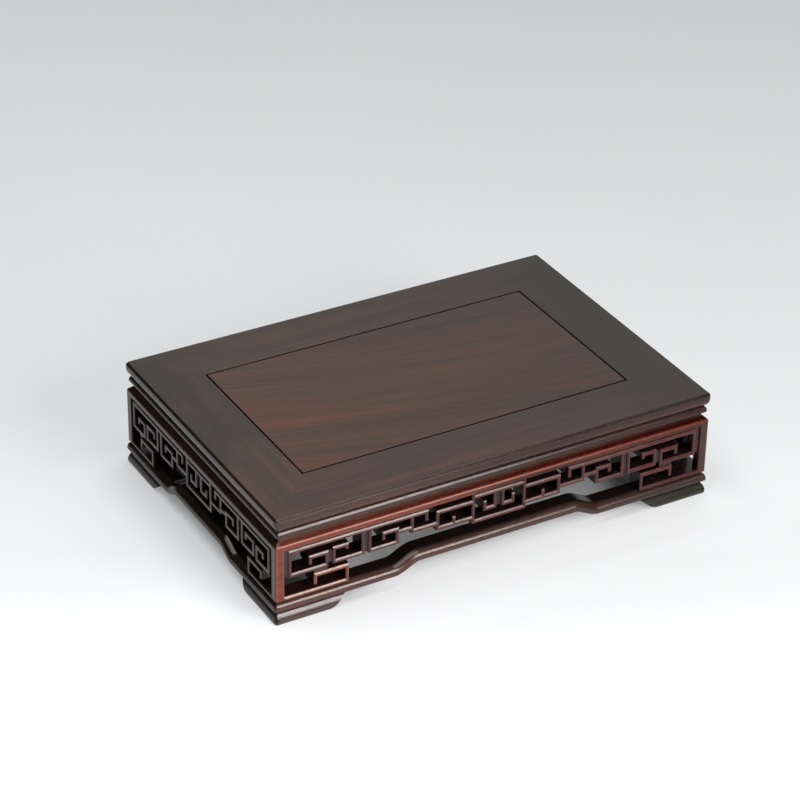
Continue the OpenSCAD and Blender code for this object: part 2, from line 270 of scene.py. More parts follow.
def wood(name, grain, stops, edge, edge_amount, rough=(0.15, 0.23), lean=0.0, shift=(0, 0, 0), figure=0.55, pore=0.55,
         coat=0.0, bump=0.25, recess_shade=None, sweep=None, zones=False, ends=None, one_end=False, slope=None, patches=None, seam_shade=False,
         tint=(1.0, 0.955, 0.915), fore=None, flank=None, dull=False, lip=None, crest=None, haze=None):
    """Waxed rosewood. grain is the axis that the grain runs along; stops colour the figure from its darkest streak to its lightest."""
    mat = bpy.data.materials.new(name)
    net = Net(nodes_of(mat))
    tc = net.add("ShaderNodeTexCoord")
    mp = net.add("ShaderNodeMapping", vector_type="POINT")
    net.put(mp.inputs["Vector"], tc.outputs["Object"])
    mp.inputs["Scale"].default_value = (1000, 1000, 1000)
    mp.inputs["Location"].default_value = shift
    turn = {"X": 0.0, "Y": -math.pi / 2}[grain] + lean
    mp.inputs["Rotation"].default_value = (0, 0, turn)
    p = mp.outputs[0]
    if sweep:
        # the grain runs across the board at a slant that eases off along it
        axis = net.add("ShaderNodeSeparateXYZ")
        net.put(axis.inputs[0], p)
        along = net.math("MULTIPLY", axis.outputs[0], net.math("ADD", net.math("MULTIPLY", axis.outputs[0], sweep[1]), sweep[0]))
        push = net.add("ShaderNodeCombineXYZ")
        net.put(push.inputs[1], along)
        p = net.vmath("ADD", p, push.outputs[0])
    # the grain wanders a little
    warp = net.vmath("SUBTRACT", net.add("ShaderNodeTexNoise").outputs["Color"], (0.5, 0.5, 0.5))
    wn = [n for n in net.nt.nodes if n.type == "TEX_NOISE"][-1]
    net.put(wn.inputs["Vector"], net.vmath("MULTIPLY", p, (0.006, 0.02, 0.02)))
    wn.inputs["Scale"].default_value = 1.0
    wn.inputs["Detail"].default_value = 2.0
    q = net.vmath("ADD", p, net.vmath("MULTIPLY", warp, (0.0, 9.0, 9.0)))
    broad = net.noise(net.vmath("MULTIPLY", q, (0.006, 0.085, 0.085)), 1.0, 3.0, 0.55)
    streak = net.noise(net.vmath("MULTIPLY", q, (0.012, 0.42, 0.42)), 1.0, 4.0, 0.62)
    fine = net.noise(net.vmath("MULTIPLY", q, (0.05, 2.4, 2.4)), 1.0, 3.0, 0.6)
    pores = net.noise(net.vmath("MULTIPLY", q, (0.32, 5.2, 5.2)), 1.0, 1.0, 0.5)
    pores = net.span(pores, 0.60, 0.72, 0.0, 1.0, smooth=True)
    fac = net.math("ADD", net.math("MULTIPLY", broad, figure), net.math("MULTIPLY", streak, 1.0 - figure))
    fac = net.math("ADD", fac, net.math("MULTIPLY", net.math("SUBTRACT", fine, 0.5), 0.22))
    fac = net.span(fac, 0.30, 0.70)
    col = net.ramp(fac, stops)
    if ends:
        # cooler and darker towards both ends of the piece, in ragged patches
        reach = net.add("ShaderNodeSeparateXYZ")
        net.put(reach.inputs[0], tc.outputs["Object"])
        far = reach.outputs[0] if one_end else net.math("ABSOLUTE", reach.outputs[0])
        patch = net.noise(net.vmath("MULTIPLY", p, (0.035, 0.06, 0.06)), 1.0, 3.0, 0.55)
        warm = net.math("SUBTRACT", net.math("ADD", net.span(far, 0.055, 0.088, 1.0, 0.0), net.math("MULTIPLY", net.math("SUBTRACT", patch, 0.5), 2.4)), 0.0, clamp=True)
        col = net.mix(warm, net.ramp(fac, ends), col)
    if patches:
        # soft clouds of another tone
        cloud = net.span(net.noise(net.vmath("MULTIPLY", p, (0.018, 0.03, 0.03)), 1.0, 3.0, 0.6), 0.44, 0.62, 0.0, 0.85, smooth=True)
        col = net.mix(cloud, col, net.ramp(fac, patches))
    dark = net.mix(net.math("MULTIPLY", pores, pore), col, tuple(c * 0.35 for c in stops[0][1]))
    # arrises take the edge colour in ragged patches: worn edges, and on the fret's bright orange edges partly a
    # painted highlight
    at = net.add("ShaderNodeAttribute", attribute_name="arris")
    worn = net.math("MULTIPLY", at.outputs["Fac"], net.span(net.noise(p, 0.35, 2.0, 0.6), 0.35, 0.65, 0.35, 1.0))
    col = net.mix(net.math("MULTIPLY", worn, edge_amount), dark, edge)
    if zones:
        # the carved bars are darker than the posts and border. Painted light and shade: the whole is lighter at the
        # left end where the front light falls, and the hollow of the shoulder under the frame is painted as deep red
        # shade
        spot = net.add("ShaderNodeSeparateXYZ")
        net.put(spot.inputs[0], tc.outputs["Object"])
        sx, sz = spot.outputs[0], spot.outputs[2]
        wide = net.math("ABSOLUTE", sx)
        inner = net.math("MULTIPLY", net.span(wide, 0.0953, 0.0960, 1.0, 0.0), net.span(sz, 0.0326, 0.0329, 1.0, 0.0))
        low = net.span(sz, 0.0185, 0.0205, 1.0, 0.0)
        # painted light: the lower bars are lighter towards the left end
        bars = net.math("ADD", net.math("MULTIPLY", low, net.span(sx, -0.09, 0.05, 0.66, 0.0)), 0.38)
        # posts and border: lighter at the left end and darker to the right, painted light falling off; darker above
        # the shoulder's rounded edge, painted shade in the hollow under the frame
        rest = net.math("MULTIPLY", net.span(sx, -0.1, 0.1, 0.95, 0.23), net.math("ADD", net.math("MULTIPLY", net.span(sz, 0.03555, 0.0358, 0.0, -1.0), net.span(sx, -0.1, 0.1, 0.38, 0.40)), 1.0))
        # a lighter band on the shoulder's rounded edge, more so to the right, and at the corners: worn edge, partly a
        # painted highlight
        wear_and_highlight = net.math("MULTIPLY", net.math("MULTIPLY", net.span(sz, 0.0346, 0.0350), net.span(sz, 0.0355, 0.0358, 1.0, 0.0)), net.span(sx, -0.1, 0.1, 0.5, 1.5))
        wear_and_highlight = net.math("ADD", net.math("MAXIMUM", wear_and_highlight, net.span(wide, 0.0984, 0.0990, 0.0, 0.45)), 1.0)
        rest = net.math("MULTIPLY", rest, wear_and_highlight)
        # the border's lower half is darker a little right of the middle
        shade = net.span(net.math("ABSOLUTE", net.math("SUBTRACT", sx, 0.017)), 0.010, 0.034, 0.58, 0.0, smooth=True)
        rest = net.math("MULTIPLY", rest, net.math("SUBTRACT", 1.0, net.math("MULTIPLY", shade, net.span(sz, 0.0343, 0.0348, 1.0, 0.0))))
        amount = net.math("ADD", net.math("MULTIPLY", inner, bars), net.math("MULTIPLY", net.math("SUBTRACT", 1.0, inner), rest))
        # lighter again higher up in the shoulder's hollow
        amount = net.math("MULTIPLY", amount, net.math("MULTIPLY_ADD", net.span(sz, 0.0362, 0.0369), net.span(sx, -0.1, 0.1, 0.40, 0.22), 1.0))
        grey = net.add("ShaderNodeCombineColor")
        net.put(grey.inputs[0], net.math("MULTIPLY", amount, net.math("MULTIPLY_ADD", inner, -0.10, 1.0)))
        # green and blue in the painted shade of the hollow: deep red just above the shoulder's edge, greyer towards
        # the frame
        fade = net.math("ADD", net.span(sz, 0.0363, 0.0373, 0.0, 1.9), net.span(sx, -0.1, 0.1, 0.6, 0.15))
        above = net.span(sz, 0.03555, 0.0358)
        cool = net.math("MULTIPLY", amount, net.math("ADD", net.math("MULTIPLY", above, net.math("SUBTRACT", fade, 1.0)), 1.0))
        net.put(grey.inputs[1], net.math("MULTIPLY", cool, net.math("MULTIPLY_ADD", inner, 0.25, 1.0)))
        # blue: more on the bars, less on the painted-lit lower bars at the left end
        net.put(grey.inputs[2], net.math("MULTIPLY", cool, net.math("MULTIPLY_ADD", inner, net.math("MULTIPLY_ADD", low, net.span(sx, -0.09, -0.04, -0.85, 0.0), 1.2), 1.0)))
        col = net.mix(1.0, col, grey.outputs[0], "MULTIPLY")
    # painted light: the colour is scaled from the left end to the right end, lighter at the left and darker at the
    # right, where the front light falls off
    if slope:
        run = net.add("ShaderNodeSeparateXYZ")
        net.put(run.inputs[0], tc.outputs["Object"])
        lift = net.add("ShaderNodeCombineColor")
        for i in range(3):
            net.put(lift.inputs[i], net.span(run.outputs[0], -0.095, 0.095, 1 + (slope[0] - 1) * (1.0, 0.85, 1.0)[i], 1 + (slope[1] - 1) * (1.0, 0.85, 1.0)[i]))
        col = net.mix(1.0, col, lift.outputs[0], "MULTIPLY")
    for pair, axis in ((fore, 1), (flank, 0)):
        # fore: the tone from the front end to the back end; flank: painted shade, darker from the inner part to the
        # outer faces at the ends
        if pair:
            run = net.add("ShaderNodeSeparateXYZ")
            net.put(run.inputs[0], tc.outputs["Object"])
            at = run.outputs[1] if axis else net.math("ABSOLUTE", run.outputs[0])
            f = net.span(at, -0.06, 0.06, *pair) if axis else net.span(at, 0.0980, 0.0994, *pair)
            lift = net.add("ShaderNodeCombineColor")
            for i in range(3):
                net.put(lift.inputs[i], f)
            col = net.mix(1.0, col, lift.outputs[0], "MULTIPLY")
    if lip:
        # the small chamfer along the top is a dull grey-brown, painted lighter towards the left end on the front rail
        # and darker on the left rail: painted light and shade
        place = net.add("ShaderNodeSeparateXYZ")
        net.put(place.inputs[0], tc.outputs["Object"])
        chamfer_band = net.math("MULTIPLY", net.span(place.outputs[2], 0.0469, 0.0472), net.span(place.outputs[2], 0.0478, 0.04796, 1.0, 0.0))
        outer = net.math("MAXIMUM", net.math("GREATER_THAN", net.math("ABSOLUTE", place.outputs[0]), 0.09), net.math("GREATER_THAN", net.math("ABSOLUTE", place.outputs[1]), 0.06))
        chamfer_tone = net.add("ShaderNodeCombineColor")
        for i, v in enumerate((0.0195, 0.0158, 0.0148)):
            net.put(chamfer_tone.inputs[i], net.span(place.outputs[0], -0.1, 0.02, v * lip[2], v))
        col = net.mix(net.math("MULTIPLY", net.math("MULTIPLY", chamfer_band, outer), 0.75), col, chamfer_tone.outputs[0])
        if len(lip) > 3:
            # the moulded edge shows more of the red wood towards the right end
            ruddy = net.math("MULTIPLY", net.span(place.outputs[2], 0.0468, 0.0472, 1.0, 0.0), net.span(place.outputs[0], 0.02, 0.1, 0.0, lip[3]))
            col = net.mix(ruddy, col, (0.023, 0.0040, 0.0055), "ADD")
    gap = None
    if seam_shade:
        # painted shade: the gap round the panel is painted near black, and made rough and unreflective
        inside = net.add("ShaderNodeSeparateXYZ")
        net.put(inside.inputs[0], tc.outputs["Object"])
        gap = net.math("MULTIPLY", net.span(net.math("ABSOLUTE", inside.outputs[0]), 0.07535, 0.0755, 1.0, 0.0), net.span(net.math("ABSOLUTE", inside.outputs[1]), 0.04255, 0.0427, 1.0, 0.0))
        gap = net.math("MULTIPLY", gap, net.math("MULTIPLY", net.span(inside.outputs[2], 0.04794, 0.047995, 1.0, 0.0), net.span(inside.outputs[2], 0.0452, 0.0454, 0.0, 1.0)))
        col = net.mix(gap, col, (0.003, 0.0022, 0.002))
    # painted shade: points marked by the recess attribute are mixed towards near black, as if in shadow
    if recess_shade:
        deep = net.add("ShaderNodeAttribute", attribute_name="recess_shade")
        col = net.mix(net.math("MULTIPLY", deep.outputs["Fac"], 0.9), col, recess_shade)
    r = net.span(net.math("ADD", net.math("MULTIPLY", fine, 0.5), net.math("MULTIPLY", streak, 0.5)), 0.3, 0.7, rough[0], rough[1])
    smear = net.span(net.noise(net.vmath("MULTIPLY", p, (0.02, 0.03, 0.03)), 1.0, 3.0, 0.6), 0.35, 0.65, -0.02, 0.03)
    r = net.math("ADD", r, smear)
    r = net.math("ADD", r, net.math("MULTIPLY", pores, 0.14), clamp=True)
    if haze:
        # softer polish away from the left end
        place = net.add("ShaderNodeSeparateXYZ")
        net.put(place.inputs[0], tc.outputs["Object"])
        r = net.math("ADD", r, net.span(place.outputs[0], -0.06, 0.02, 0.0, haze), clamp=True)
    # the painted shade on the feet's necks is also made rough and unreflective
    if dull:
        gap = deep.outputs["Fac"]
    if gap:
        r = net.math("ADD", r, net.math("MULTIPLY", gap, 0.7), clamp=True)
    h = net.math("SUBTRACT", net.math("MULTIPLY", fine, 0.35), net.math("MULTIPLY", pores, 1.0))
    bp = net.add("ShaderNodeBump")
    bp.inputs["Strength"].default_value = bump
    bp.inputs["Distance"].default_value = 0.00004
    net.put(bp.inputs["Height"], h)
    sh = net.add("ShaderNodeBsdfPrincipled")
    net.put(sh.inputs["Base Color"], col)
    net.put(sh.inputs["Roughness"], r)
    net.put(sh.inputs["Normal"], bp.outputs[0])
    sh.inputs["IOR"].default_value = 1.5
    sh.inputs["Specular Tint"].default_value = (*tint, 1)
    level = None
    if lip:
        # the moulded edge is less polished than the top, the more so to one end
        place = net.add("ShaderNodeSeparateXYZ")
        net.put(place.inputs[0], tc.outputs["Object"])
        edge_on = net.span(place.outputs[2], 0.0471, 0.0476, 1.0, 0.0)
        level = net.math("MULTIPLY_ADD", edge_on, net.span(place.outputs[0], -0.04, 0.02 if len(lip) > 3 else 0.07, lip[0] - 0.5, lip[1] - 0.5), 0.5)
    if crest:
        # duller above a height, towards the ends
        place = net.add("ShaderNodeSeparateXYZ")
        net.put(place.inputs[0], tc.outputs["Object"])
        above = net.math("MULTIPLY", net.span(place.outputs[2], crest[0], crest[1]), net.span(net.math("ABSOLUTE", place.outputs[0]), 0.044, 0.054))
        level = net.math("MULTIPLY_ADD", above, net.span(place.outputs[0], -0.04, 0.07, crest[2] - 0.5, crest[3] - 0.5), 0.5)
    if zones:
        # so are the bars away from the left end, and the hollow of the shoulder
        away = net.math("MULTIPLY", inner, net.span(sx, -0.045, 0.0, 0.0, -0.09))
        hollow = net.math("MULTIPLY", net.span(sz, 0.0358, 0.0361), net.span(sz, 0.0366, 0.0370, 1.0, 0.0))
        hollow = net.math("MULTIPLY", hollow, net.span(sx, -0.1, 0.1, -0.06, -0.42))
        hollow = net.math("ADD", hollow, net.span(sz, 0.0366, 0.0371, 0.0, 0.34))
        border = net.math("MULTIPLY", net.math("MULTIPLY", net.span(sz, 0.0328, 0.0331), net.span(sz, 0.0342, 0.0346, 1.0, 0.0)), net.span(sx, -0.02, 0.03, 0.0, -0.22))
        border = net.math("MULTIPLY", border, net.span(wide, 0.0945, 0.0953, 1.0, 0.0))
        level = net.math("ADD", net.math("ADD", net.math("ADD", away, hollow), border), net.math("MULTIPLY_ADD", net.math("MULTIPLY", inner, low), net.span(sx, -0.09, -0.05, 0.14, 0.0), 0.5))
    # no reflection where shade is painted: in the gap round the panel and on the feet's necks
    if gap:
        level = net.math("MULTIPLY", net.math("MULTIPLY_ADD", gap, -0.96, 1.0), level if level else 0.5)
    if level:
        net.put(sh.inputs["Specular IOR Level"], level)
    if coat:
        sh.inputs["Coat Weight"].default_value = coat
        sh.inputs["Coat Roughness"].default_value = 0.25
    out = net.add("ShaderNodeOutputMaterial")
    net.put(out.inputs[0], sh.outputs[0])
    return mat


def bamboo(name):
    mat = bpy.data.materials.new(name)
    net = Net(nodes_of(mat))
    tc = net.add("ShaderNodeTexCoord")
    p = net.vmath("MULTIPLY", tc.outputs["Object"], (1000, 1000, 1000))
    fibre = net.noise(net.vmath("MULTIPLY", p, (5.0, 5.0, 0.12)), 1.0, 3.0, 0.6)
    blotch = net.noise(net.vmath("MULTIPLY", p, (0.5, 0.5, 0.15)), 1.0, 2.0, 0.5)
    fac = net.math("ADD", net.math("MULTIPLY", fibre, 0.65), net.math("MULTIPLY", blotch, 0.35))
    col = net.ramp(net.span(fac, 0.3, 0.7), [(0.0, (0.20, 0.115, 0.045)), (0.5, (0.36, 0.22, 0.09)), (1.0, (0.50, 0.34, 0.16))])
    bp = net.add("ShaderNodeBump")
    bp.inputs["Strength"].default_value = 0.3
    bp.inputs["Distance"].default_value = 0.00005
    net.put(bp.inputs["Height"], fibre)
    sh = net.add("ShaderNodeBsdfPrincipled")
    net.put(sh.inputs["Base Color"], col)
    net.put(sh.inputs["Roughness"], net.span(fibre, 0.3, 0.7, 0.45, 0.65))
    net.put(sh.inputs["Normal"], bp.outputs[0])
    out = net.add("ShaderNodeOutputMaterial")
    net.put(out.inputs[0], sh.outputs[0])
    return mat


RAIL_STOPS = [(0.0, (0.014, 0.0085, 0.0050)), (0.45, (0.030, 0.0145, 0.0085)), (0.8, (0.050, 0.0190, 0.0105)), (1.0, (0.070, 0.0220, 0.0120))]
END_STOPS = [(0.0, (0.0090, 0.0062, 0.0036)), (0.5, (0.0145, 0.0093, 0.0054)), (0.85, (0.0225, 0.0122, 0.0070)), (1.0, (0.030, 0.0142, 0.0078))]
PANEL_STOPS = [(0.0, (0.019, 0.0085, 0.0051)), (0.4, (0.038, 0.0145, 0.0076)), (0.75, (0.059, 0.0185, 0.0088)), (1.0, (0.080, 0.0215, 0.0100))]
FRET_STOPS = [(0.0, (0.098, 0.0160, 0.0082)), (0.4, (0.142, 0.0240, 0.0124)), (0.75, (0.182, 0.0320, 0.0160)), (1.0, (0.228, 0.0415, 0.0205))]
# painted shade: a far darker copy of the fret colours for the left apron and the left base rail, which stand in
# shadow
SHADED_SIDE_STOPS = [(0.0, (0.006, 0.0028, 0.0023)), (0.4, (0.010, 0.0039, 0.0032)), (0.75, (0.016, 0.0052, 0.0040)), (1.0, (0.024, 0.0070, 0.0052))]
BASE_STOPS = [(0.0, (0.026, 0.0120, 0.0100)), (0.5, (0.052, 0.0218, 0.0183)), (0.85, (0.078, 0.0290, 0.0236)), (1.0, (0.105, 0.0366, 0.0290))]
FOOT_STOPS = [(0.0, (0.034, 0.0240, 0.0216)), (0.5, (0.062, 0.0450, 0.0412)), (0.85, (0.090, 0.0630, 0.0575)), (1.0, (0.118, 0.0800, 0.0730))]
END_FRET_STOPS = [(0.0, (0.016, 0.0040, 0.0028)), (0.4, (0.024, 0.0055, 0.0036)), (0.75, (0.032, 0.0072, 0.0045)), (1.0, (0.042, 0.0093, 0.0056))]
END_BASE_STOPS = [(0.0, (0.010, 0.0044, 0.0036)), (0.5, (0.019, 0.0072, 0.0059)), (0.85, (0.028, 0.0096, 0.0076)), (1.0, (0.038, 0.0122, 0.0094))]
INNER_STOPS = [(0.0, (0.045, 0.022, 0.012)), (0.5, (0.085, 0.042, 0.022)), (1.0, (0.13, 0.066, 0.036))]
# edge colours for the arrises: worn edges; the fret's bright orange one is partly a painted highlight
EDGE_FRAME, EDGE_FRET, EDGE_BASE = (0.028, 0.019, 0.016), (0.26, 0.060, 0.032), (0.07, 0.028, 0.021)
# near black painted into the recesses as painted shade: inside the fret's piercings, on the hidden faces of the base
# rails and on the feet's necks
RECESS_SHADE_TONE = (0.006, 0.0042, 0.0036)

M = {
    "rail_x": wood("rosewood_rail_x", "X", RAIL_STOPS, EDGE_FRAME, 0.4, rough=(0.165, 0.245), shift=(11, 40, 3), ends=END_STOPS, one_end=True, slope=(1.24, 0.75), seam_shade=True, lip=(0.44, 0.31, 2.1, 1.0), tint=(1.0, 0.95, 0.97)),
    "rail_x2": wood("rosewood_rail_x2", "X", RAIL_STOPS, EDGE_FRAME, 0.4, shift=(311, 140, 33), ends=END_STOPS, slope=(1.40, 0.70), seam_shade=True, lip=(0.5, 0.5, 1.4)),
    "rail_y": wood("rosewood_rail_y", "Y", END_STOPS, EDGE_FRAME, 0.4, shift=(71, 240, 13), patches=RAIL_STOPS, seam_shade=True, fore=(1.5, 0.95), lip=(0.42, 0.5, 0.3)),
    "rail_y2": wood("rosewood_rail_y2", "Y", END_STOPS, EDGE_FRAME, 0.4, shift=(171, 340, 93), seam_shade=True, fore=(0.85, 0.75), lip=(0.5, 0.5, 1.0)),
    "panel": wood("rosewood_panel", "X", PANEL_STOPS, EDGE_FRAME, 0.2, shift=(5, 520, 7), figure=0.45, sweep=(0.215, -0.001), slope=(1.26, 0.63), seam_shade=True),
    "fret_x": wood("rosewood_fret_x", "X", FRET_STOPS, EDGE_FRET, 0.6, shift=(9, 620, 17), figure=0.5, recess_shade=RECESS_SHADE_TONE, zones=True),
    # the left apron takes the painted-shade colours
    "fret_y": wood("rosewood_fret_y", "Y", SHADED_SIDE_STOPS, EDGE_BASE, 0.2, shift=(19, 720, 27), figure=0.5, recess_shade=RECESS_SHADE_TONE),
    "fret_y2": wood("rosewood_fret_y2", "Y", END_FRET_STOPS, EDGE_BASE, 0.2, shift=(119, 720, 127), figure=0.5, recess_shade=RECESS_SHADE_TONE),
    "base_y2": wood("rosewood_base_y2", "Y", END_BASE_STOPS, EDGE_BASE, 0.2, rough=(0.14, 0.22), shift=(139, 920, 147), recess_shade=RECESS_SHADE_TONE),
    "base_x": wood("rosewood_base_x", "X", BASE_STOPS, EDGE_BASE, 0.4, rough=(0.14, 0.22), shift=(29, 820, 37), recess_shade=RECESS_SHADE_TONE, slope=(1.38, 0.46), crest=(0.0085, 0.0089, 0.33, 0.5), haze=0.07),
    # the left base rail also takes the painted-shade colours
    "base_y": wood("rosewood_base_y", "Y", SHADED_SIDE_STOPS, EDGE_BASE, 0.2, rough=(0.14, 0.22), shift=(39, 920, 47), recess_shade=RECESS_SHADE_TONE),
    "foot": wood("rosewood_foot", "X", FOOT_STOPS, EDGE_BASE, 0.4, rough=(0.15, 0.23), shift=(59, 420, 67), slope=(1.25, 0.27), flank=(1.0, 0.25), recess_shade=RECESS_SHADE_TONE, dull=True, tint=(1.0, 0.96, 0.985), crest=(0.0027, 0.0034, 0.5, 0.22)),
    "inner": wood("rosewood_sawn", "Y", INNER_STOPS, (0.16, 0.09, 0.05), 0.4, rough=(0.55, 0.75), shift=(49, 77, 57), bump=0.5),
    "bamboo": bamboo("split_bamboo"),
}


# ---------------------------------------------------------------- loose joinery, as cutters
def top_pegs(r):
    out = []
    for s in (-1, 1):
        out += [(x, s * (AP_B - AP_T / 2 - 0.2), FRAME_Z - 5, FRAME_Z + 5, r) for x in (-60, 0, 60)]
        out += [(s * (AP_A - AP_T / 2 - 0.2), y, FRAME_Z - 5, FRAME_Z + 5, r) for y in (-30, 30)]
    return out


def corner_pegs(r):
    return [(sx * (AP_A - 2.45), sy * (AP_B - 2.45), 3, BASE_Z + 6, r) for sx in (-1, 1) for sy in (-1, 1)]


def foot_pegs(r):
    out = []
    for sx in (-1, 1):
        for sy in (-1, 1):
            out.append((sx * (FO_A - 20), sy * (BA_B - 5), 2.5, BASE_Z - 1.5, r))
            out.append((sx * (BA_A - 5), sy * (FO_B - 20), 2.5, BASE_Z - 1.5, r))
    return out


def cut_pegs(ob, sets, lo, hi):
    """Bores the peg holes that lie in the box lo..hi (plan) out of ob."""
    tools = []
    for x, y, z0, z1, r in sets:
        if lo[0] <= x <= hi[0] and lo[1] <= y <= hi[1]:
            tools.append(peg_obj("tool", x, y, z0 - FIT, z1 + FIT, r + FIT))
    if tools:
        boolean(ob, joined("tools", tools), "DIFFERENCE")


# ---------------------------------------------------------------- top frame
def edge_profile(w, inner_round=0.1):
    """Closed section of a top rail: (inset from the lip, height)."""
    pts = []
    for k in range(7):
        a = math.radians(90 - 44 * k / 6)
        pts.append((1.13 - 0.43 * math.cos(a), HEIGHT - 0.43 * (1 - math.sin(a))))
    for k in range(6):
        a = math.radians(46 - 38 * k / 5)
        pts.append((0.075 + 0.18 * (0.990 - math.cos(a)), 47.09 + 0.18 * (math.sin(a) - 0.139)))
    for k in range(1, 5):
        u = 1 - k / 4
        pts.append((0.075 * u * u, 45.64 + 1.45 * u))
    for k in range(1, 9):
        u = k / 8
        pts.append((1.2 * u ** 2.2, 45.64 - 3.0 * u))
    pts += [(2.05, 42.55), (2.45, 42.3), (2.5, 41.9), (2.45, 41.65)]
    # the bead: a round nose that eases into a longer slope on top
    top = []
    i, z = 1.0, 39.7
    for turn, n, r in ((25, 5, 1.75), (18, 5, 3.6), (37, 5, 0.5)):
        a0 = math.radians(0 if not top else top[-1][2])
        i0, z0, t0 = i, z, math.degrees(a0)
        for k in range(1, n + 1):
            a = a0 + math.radians(turn * k / n)
            i, z = i0 + r * (math.cos(a0) - math.cos(a)), z0 + r * (math.sin(a) - math.sin(a0))
            top.append((i, z, t0 + turn * k / n))
    pts += [(i, z) for i, z, _ in reversed(top)]
    pts.append((1.0, 39.7))
    for k in range(1, 9):
        a = math.radians(70 * k / 8)
        pts.append((1.0 + 1.15 * (1 - math.cos(a)), 39.7 - 1.15 * math.sin(a)))
    pts += [(2.6, 38.3), (2.8, 38.1), (2.8, FRAME_Z)]
    pts += [(w - inner_round, FRAME_Z), (w, FRAME_Z + inner_round), (w, 42.96), (w - 4.04, 42.96), (w - 4.04, 45.44), (w - 0.12, 45.44)]
    for k in range(4):
        a = math.pi / 2 * k / 3
        pts.append((w - 0.12 - inner_round * (1 - math.cos(a)), HEIGHT - inner_round * (1 - math.sin(a))))
    return pts


def top_rail(name, side, mat):
    long_side = side in ("front", "back")
    A, B = (TOP_A, TOP_B) if long_side else (TOP_B, TOP_A)
    w, w_end = (RAIL_LONG, RAIL_SHORT) if long_side else (RAIL_SHORT, RAIL_LONG)
    prof = edge_profile(w)
    k = TURN[side]
    rings = []

    def station(theta, sx, gap):
        ring = []
        for j, z in prof:
            jx = j if j < 3 else 3 + (j - 3) * (w_end - 3) / (w - 3)
            r = max(1.8 - j, 0.3)
            cx, cy = -(A - jx) + r, -(B - j) + r
            x, y = cx - r * math.cos(theta) + gap, cy - r * math.sin(theta)
            ring.append(turned((sx * x, y, z), k))
        return ring

    thetas = [math.radians(t) for t in (45, 54, 63, 72, 81, 90)]
    for n, t in enumerate(thetas):
        rings.append(station(t, 1, 0.004))
    for n, t in enumerate(reversed(thetas)):
        rings.append(station(t, -1, 0.004))
    ob = loft(name, rings)
    hw, hl = TOP_A, TOP_B
    tz = FRAME_Z + 2.6
    tenons = [(sx * (TOP_A - 17), sy * (TOP_B - 19.6)) for sx in (-1, 1) for sy in (-1, 1)]
    if long_side:
        s = -1 if side == "front" else 1
        tools = [box_obj("t", (x - 9, y - 4, tz - 1.4), (x + 9, y + 4, tz + 1.4)) for x, y in tenons if y * s > 0]
        boolean(ob, joined("tools", tools), "UNION")
        y0, y1 = sorted((s * (TOP_B - RAIL_LONG - 1), s * (TOP_B - RAIL_LONG + 6.04)))
        boolean(ob, box_obj("t", (-5.04, y0, FRAME_Z + 0.86), (5.04, y1, FRAME_Z + 3.14)), "DIFFERENCE")
    else:
        s = -1 if side == "left" else 1
        tools = [box_obj("t", (x - 9.04, y - 4.04, tz - 1.44), (x + 9.04, y + 4.04, tz + 1.44)) for x, y in tenons if x * s > 0]
        boolean(ob, joined("tools", tools), "DIFFERENCE")
    zone = {"front": ((-90, -70), (90, -50)), "back": ((-90, 50), (90, 70)), "left": ((-110, -50), (-90, 50)), "right": ((90, -50), (110, 50))}[side]
    cut_pegs(ob, top_pegs(PEG_R), *zone)
    finish_piece(ob, "top_rail_" + side, mat)


top_rail("rail_front", "front", M["rail_x"])
top_rail("rail_back", "back", M["rail_x2"])
top_rail("rail_left", "left", M["rail_y"])
top_rail("rail_right", "right", M["rail_y2"])


# ---------------------------------------------------------------- panel and batten
def rect_ring(a, b, z):
    return [(-a, -b, z), (a, -b, z), (a, b, z), (-a, b, z)]


PA, PB = TOP_A - RAIL_SHORT - SEAM, TOP_B - RAIL_LONG - SEAM
rows = [(0.22, 48.0), (0.17, 47.987), (0.133, 47.95), (0.12, 47.9), (0.12, 45.4), (-4.5, 45.4), (-4.5, 43.0), (0.0, 43.0), (0.0, 41.3), (0.3, 41.0)]
panel = loft("panel", [rect_ring(PA - i, PB - i, z) for i, z in rows])
slot_plan = [(-6, 40.9), (6, 40.9), (6.86, 42.54), (-6.86, 42.54)]
boolean(panel, loft("tool", [[(x, y, z) for x, z in slot_plan] for y in (-60, 60)]), "DIFFERENCE")
finish_piece(panel, "top_panel", M["panel"])

bw, by = 8.0, PB + SEAM
prof = [(-bw, FRAME_Z), (bw, FRAME_Z), (bw, 41.0), (bw - 2, 41.0), (bw - 1.2, 42.5), (1.2 - bw, 42.5), (2 - bw, 41.0), (-bw, 41.0)]
batten = loft("batten", [[(x, y, z) for x, z in prof] for y in (-by, by)])
boolean(batten, box_obj("tool", (-5, -by - 6, FRAME_Z + 0.9), (5, by + 6, FRAME_Z + 3.1)), "UNION")
ease(batten, 0.3, 2)
finish_piece(batten, "panel_batten", M["inner"])


